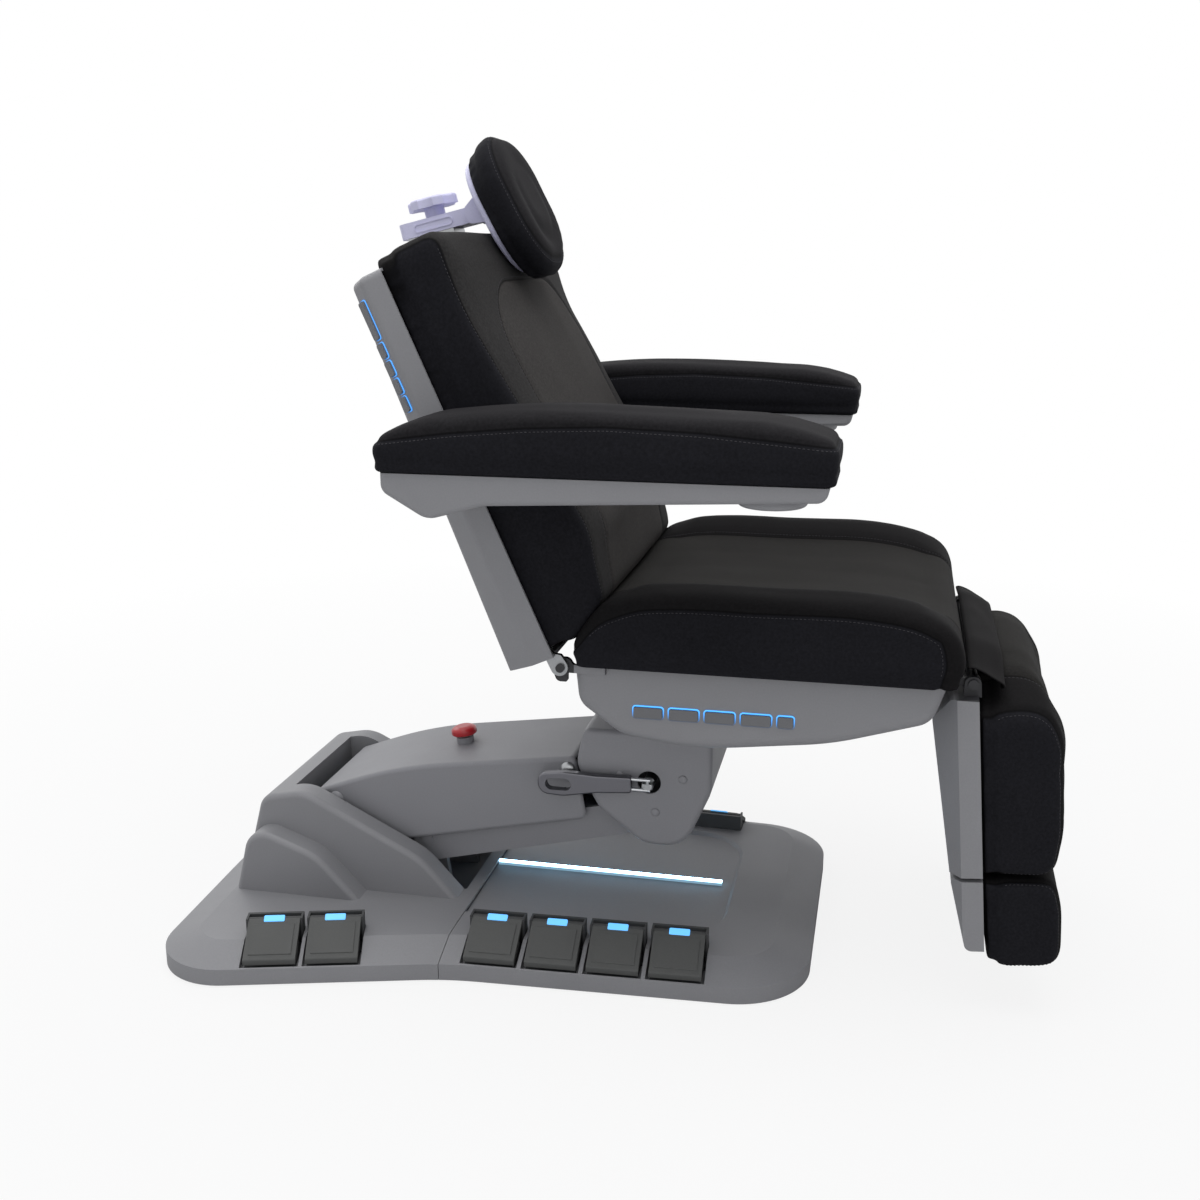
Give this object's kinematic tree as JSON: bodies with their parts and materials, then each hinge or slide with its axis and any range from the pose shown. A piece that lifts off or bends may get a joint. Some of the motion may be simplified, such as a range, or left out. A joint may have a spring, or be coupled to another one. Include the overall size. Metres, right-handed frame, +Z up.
{
  "type": "power procedure table",
  "caption": "Powered treatment chair on a low base with foot pedals: a parallel lift carries a swivelling, tilting seat with reclining back, armrests, headrest and folding legrest.",
  "frame": {"origin": "on the floor under the swivel axis, with the lift at its lowest", "axes": "+X to the foot end, +Y to the sitter's left, +Z up"},
  "size_m": [1.2986, 0.866, 1.1783],
  "materials": {
    "steel": "dark powder coat",
    "pins": "brushed",
    "shell": "smooth satin grey",
    "lift_shell": "smooth satin lilac grey",
    "pedal": "satin",
    "pedal_block": "matt black",
    "light": "lit diffuser",
    "stop_red": "gloss red",
    "chrome": "polished",
    "key": "satin dark",
    "hide": "soft coated upholstery",
    "cloth": "folded sheet"
  },
  "bodies": {
    "base": {"base_frame": "steel", "rear_base_cover": "shell", "front_base_cover": "shell", "light_bar": "light", "rear_pins": "pins", "pedal_bases": "pedal_block"},
    "lift": {"lift_arm": "steel", "arm_cover": "lift_shell"},
    "link": {"lower_link": "steel"},
    "head": {"head_frame": "steel", "head_cover": "lift_shell", "head_pins": "pins"},
    "actuator": {"lift_actuator": "steel"},
    "actuator_rod": {"lift_rod": "pins"},
    "swivel": {"turntable": "steel"},
    "seat": {"seat_frame": "steel", "seat_pan": "shell", "seat_cushion": "hide", "seat_drives": "steel", "knee_flap": "cloth"},
    "back": {"back_frame": "pins", "back_shell": "shell", "back_cushion": "hide"},
    "armrest_right": {"arm_shell_right": "shell", "arm_pad_right": "hide"},
    "armrest_left": {"arm_shell_left": "shell", "arm_pad_left": "hide"},
    "legrest": {"leg_shell": "shell", "leg_cushion": "hide"},
    "footrest": {"foot_shell": "shell", "foot_cushion": "hide"},
    "headrest_slider": {"headrest_bar": "lift_shell"},
    "headrest": {"headrest_plate": "lift_shell", "headrest_cushion": "hide"},
    "knob": {"headrest_knob": "lift_shell"},
    "lever": {"lever_fork": "chrome", "lever_grip": "lift_shell"},
    "stop": {"stop_button": "stop_red"},
    "seat_key_1": {"seat_key_1": "key"},
    "seat_key_2": {"seat_key_2": "key"},
    "seat_key_3": {"seat_key_3": "key"},
    "seat_key_4": {"seat_key_4": "key"},
    "seat_key_5": {"seat_key_5": "key"},
    "back_key_1": {"back_key_1": "key"},
    "back_key_2": {"back_key_2": "key"},
    "back_key_3": {"back_key_3": "key"},
    "back_key_4": {"back_key_4": "key"},
    "back_key_5": {"back_key_5": "key"},
    "pedal_right_1": {"pedal_right_1": "pedal"},
    "pedal_left_1": {"pedal_left_1": "pedal"},
    "pedal_right_2": {"pedal_right_2": "pedal"},
    "pedal_left_2": {"pedal_left_2": "pedal"},
    "pedal_right_3": {"pedal_right_3": "pedal"},
    "pedal_left_3": {"pedal_left_3": "pedal"},
    "pedal_right_4": {"pedal_right_4": "pedal"},
    "pedal_left_4": {"pedal_left_4": "pedal"},
    "pedal_right_5": {"pedal_right_5": "pedal"},
    "pedal_left_5": {"pedal_left_5": "pedal"},
    "pedal_right_6": {"pedal_right_6": "pedal"},
    "pedal_left_6": {"pedal_left_6": "pedal"}
  },
  "joints": [
    {"name": "lift", "type": "hinge", "parent": "base", "child": "lift", "pos_m": [-0.509, 0, 0.178], "axis": [0, -1, 0], "range_deg": [0, 45]},
    {"name": "link_swing", "type": "hinge", "parent": "base", "child": "link", "pos_m": [-0.363, 0, 0.116], "axis": [0, -1, 0], "range_deg": [0, 45]},
    {"name": "head_level", "type": "hinge", "parent": "lift", "child": "head", "pos_m": [-0.12801, 0, 0.25898], "axis": [0, -1, 0], "range_deg": [-45, 0]},
    {"name": "actuator_swing", "type": "hinge", "parent": "base", "child": "actuator", "pos_m": [-0.363, 0, 0.116], "axis": [0, -1, 0], "range_deg": [0, 49.03]},
    {"name": "actuator_extend", "type": "slide", "parent": "actuator", "child": "actuator_rod", "axis": [0.8543, 0, 0.5198], "range_m": [0, 0.1193]},
    {"name": "swivel", "type": "hinge", "parent": "head", "child": "swivel", "pos_m": [0, 0, 0.336], "axis": [0, 0, 1], "range_deg": [-90, 90]},
    {"name": "seat_tilt", "type": "hinge", "parent": "swivel", "child": "seat", "pos_m": [-0.04, 0, 0.408], "axis": [0, -1, 0], "range_deg": [0, 15]},
    {"name": "backrest_recline", "type": "hinge", "parent": "seat", "child": "back", "pos_m": [-0.095, 0, 0.477], "axis": [0, -1, 0], "range_deg": [0, 66]},
    {"name": "armrest_right_level", "type": "hinge", "parent": "back", "child": "armrest_right", "pos_m": [-0.22919, 0, 0.72923], "axis": [0, -1, 0], "range_deg": [-66, 0]},
    {"name": "armrest_left_level", "type": "hinge", "parent": "back", "child": "armrest_left", "pos_m": [-0.22919, 0, 0.72923], "axis": [0, -1, 0], "range_deg": [-66, 0]},
    {"name": "legrest_raise", "type": "hinge", "parent": "seat", "child": "legrest", "pos_m": [0.45, 0, 0.474], "axis": [0, -1, 0], "range_deg": [0, 85], "deforming": ["knee_flap"]},
    {"name": "footrest_slide", "type": "slide", "parent": "legrest", "child": "footrest", "axis": [0.0854, 0, -0.9963], "range_m": [0, 0.07]},
    {"name": "headrest_slide", "type": "slide", "parent": "back", "child": "headrest_slider", "axis": [0.9728, 0, 0.2317], "range_m": [0, 0.04]},
    {"name": "headrest_tilt", "type": "hinge", "parent": "headrest_slider", "child": "headrest", "pos_m": [-0.28031, 0, 1.07691], "axis": [0, -1, 0], "range_deg": [0, 30]},
    {"name": "headrest_knob_turn", "type": "hinge", "parent": "back", "child": "knob", "pos_m": [-0.345, 0, 1.0615], "axis": [-0.2317, 0, 0.9728], "range_deg": [-180, 180]},
    {"name": "brake_lever", "type": "hinge", "parent": "head", "child": "lever", "pos_m": [0, -0.126, 0.254], "axis": [0, 0, 1], "range_deg": [0, 95]},
    {"name": "stop_press", "type": "slide", "parent": "lift", "child": "stop", "axis": [0.1357, 0, -0.9907], "range_m": [0, 0.004], "stiffness_N_per_m": 900, "springref_m": -0.004},
    {"name": "seat_key_1_press", "type": "slide", "parent": "seat", "child": "seat_key_1", "axis": [0, 1, 0], "range_m": [0, 0.002], "stiffness_N_per_m": 400, "springref_m": -0.002},
    {"name": "seat_key_2_press", "type": "slide", "parent": "seat", "child": "seat_key_2", "axis": [0, 1, 0], "range_m": [0, 0.002], "stiffness_N_per_m": 400, "springref_m": -0.002},
    {"name": "seat_key_3_press", "type": "slide", "parent": "seat", "child": "seat_key_3", "axis": [0, 1, 0], "range_m": [0, 0.002], "stiffness_N_per_m": 400, "springref_m": -0.002},
    {"name": "seat_key_4_press", "type": "slide", "parent": "seat", "child": "seat_key_4", "axis": [0, 1, 0], "range_m": [0, 0.002], "stiffness_N_per_m": 400, "springref_m": -0.002},
    {"name": "seat_key_5_press", "type": "slide", "parent": "seat", "child": "seat_key_5", "axis": [0, 1, 0], "range_m": [0, 0.002], "stiffness_N_per_m": 400, "springref_m": -0.002},
    {"name": "back_key_1_press", "type": "slide", "parent": "back", "child": "back_key_1", "axis": [0.6098, 0.7446, 0.2715], "range_m": [0, 0.002], "stiffness_N_per_m": 400, "springref_m": -0.002},
    {"name": "back_key_2_press", "type": "slide", "parent": "back", "child": "back_key_2", "axis": [0.6098, 0.7446, 0.2715], "range_m": [0, 0.002], "stiffness_N_per_m": 400, "springref_m": -0.002},
    {"name": "back_key_3_press", "type": "slide", "parent": "back", "child": "back_key_3", "axis": [0.6098, 0.7446, 0.2715], "range_m": [0, 0.002], "stiffness_N_per_m": 400, "springref_m": -0.002},
    {"name": "back_key_4_press", "type": "slide", "parent": "back", "child": "back_key_4", "axis": [0.6098, 0.7446, 0.2715], "range_m": [0, 0.002], "stiffness_N_per_m": 400, "springref_m": -0.002},
    {"name": "back_key_5_press", "type": "slide", "parent": "back", "child": "back_key_5", "axis": [0.6098, 0.7446, 0.2715], "range_m": [0, 0.002], "stiffness_N_per_m": 400, "springref_m": -0.002},
    {"name": "pedal_right_1_press", "type": "hinge", "parent": "base", "child": "pedal_right_1", "pos_m": [-0.20373, -0.23105, 0.069], "axis": [0.9987, 0.0507, 0], "range_deg": [0, 4], "stiffness_Nm_per_rad": 6, "springref_deg": -6.88},
    {"name": "pedal_left_1_press", "type": "hinge", "parent": "base", "child": "pedal_left_1", "pos_m": [-0.20373, 0.23105, 0.069], "axis": [-0.9987, 0.0507, 0], "range_deg": [0, 4], "stiffness_Nm_per_rad": 6, "springref_deg": -6.88},
    {"name": "pedal_right_2_press", "type": "hinge", "parent": "base", "child": "pedal_right_2", "pos_m": [-0.11385, -0.22648, 0.069], "axis": [0.9987, 0.0507, 0], "range_deg": [0, 4], "stiffness_Nm_per_rad": 6, "springref_deg": -6.88},
    {"name": "pedal_left_2_press", "type": "hinge", "parent": "base", "child": "pedal_left_2", "pos_m": [-0.11385, 0.22648, 0.069], "axis": [-0.9987, 0.0507, 0], "range_deg": [0, 4], "stiffness_Nm_per_rad": 6, "springref_deg": -6.88},
    {"name": "pedal_right_3_press", "type": "hinge", "parent": "base", "child": "pedal_right_3", "pos_m": [-0.02396, -0.22192, 0.069], "axis": [0.9987, 0.0507, 0], "range_deg": [0, 4], "stiffness_Nm_per_rad": 6, "springref_deg": -6.88},
    {"name": "pedal_left_3_press", "type": "hinge", "parent": "base", "child": "pedal_left_3", "pos_m": [-0.02396, 0.22192, 0.069], "axis": [-0.9987, 0.0507, 0], "range_deg": [0, 4], "stiffness_Nm_per_rad": 6, "springref_deg": -6.88},
    {"name": "pedal_right_4_press", "type": "hinge", "parent": "base", "child": "pedal_right_4", "pos_m": [0.06592, -0.21736, 0.069], "axis": [0.9987, 0.0507, 0], "range_deg": [0, 4], "stiffness_Nm_per_rad": 6, "springref_deg": -6.88},
    {"name": "pedal_left_4_press", "type": "hinge", "parent": "base", "child": "pedal_left_4", "pos_m": [0.06592, 0.21736, 0.069], "axis": [-0.9987, 0.0507, 0], "range_deg": [0, 4], "stiffness_Nm_per_rad": 6, "springref_deg": -6.88},
    {"name": "pedal_right_5_press", "type": "hinge", "parent": "base", "child": "pedal_right_5", "pos_m": [-0.43919, -0.28088, 0.069], "axis": [0.9638, 0.2667, 0], "range_deg": [0, 4], "stiffness_Nm_per_rad": 6, "springref_deg": -6.88},
    {"name": "pedal_left_5_press", "type": "hinge", "parent": "base", "child": "pedal_left_5", "pos_m": [-0.43919, 0.28088, 0.069], "axis": [-0.9638, 0.2667, 0], "range_deg": [0, 4], "stiffness_Nm_per_rad": 6, "springref_deg": -6.88},
    {"name": "pedal_right_6_press", "type": "hinge", "parent": "base", "child": "pedal_right_6", "pos_m": [-0.52497, -0.30462, 0.069], "axis": [0.9638, 0.2667, 0], "range_deg": [0, 4], "stiffness_Nm_per_rad": 6, "springref_deg": -6.88},
    {"name": "pedal_left_6_press", "type": "hinge", "parent": "base", "child": "pedal_left_6", "pos_m": [-0.52497, 0.30462, 0.069], "axis": [-0.9638, 0.2667, 0], "range_deg": [0, 4], "stiffness_Nm_per_rad": 6, "springref_deg": -6.88}
  ],
  "couplings": [
    {"joint": "link_swing", "follows": "lift", "ratio": 1},
    {"joint": "head_level", "follows": "lift", "ratio": -1},
    {"joint": "actuator_swing", "follows": "lift", "ratio": 1.0894},
    {"joint": "actuator_extend", "follows": "lift", "m_per_rad": 0.15174},
    {"joint": "armrest_right_level", "follows": "backrest_recline", "ratio": -1},
    {"joint": "armrest_left_level", "follows": "backrest_recline", "ratio": -1}
  ]
}
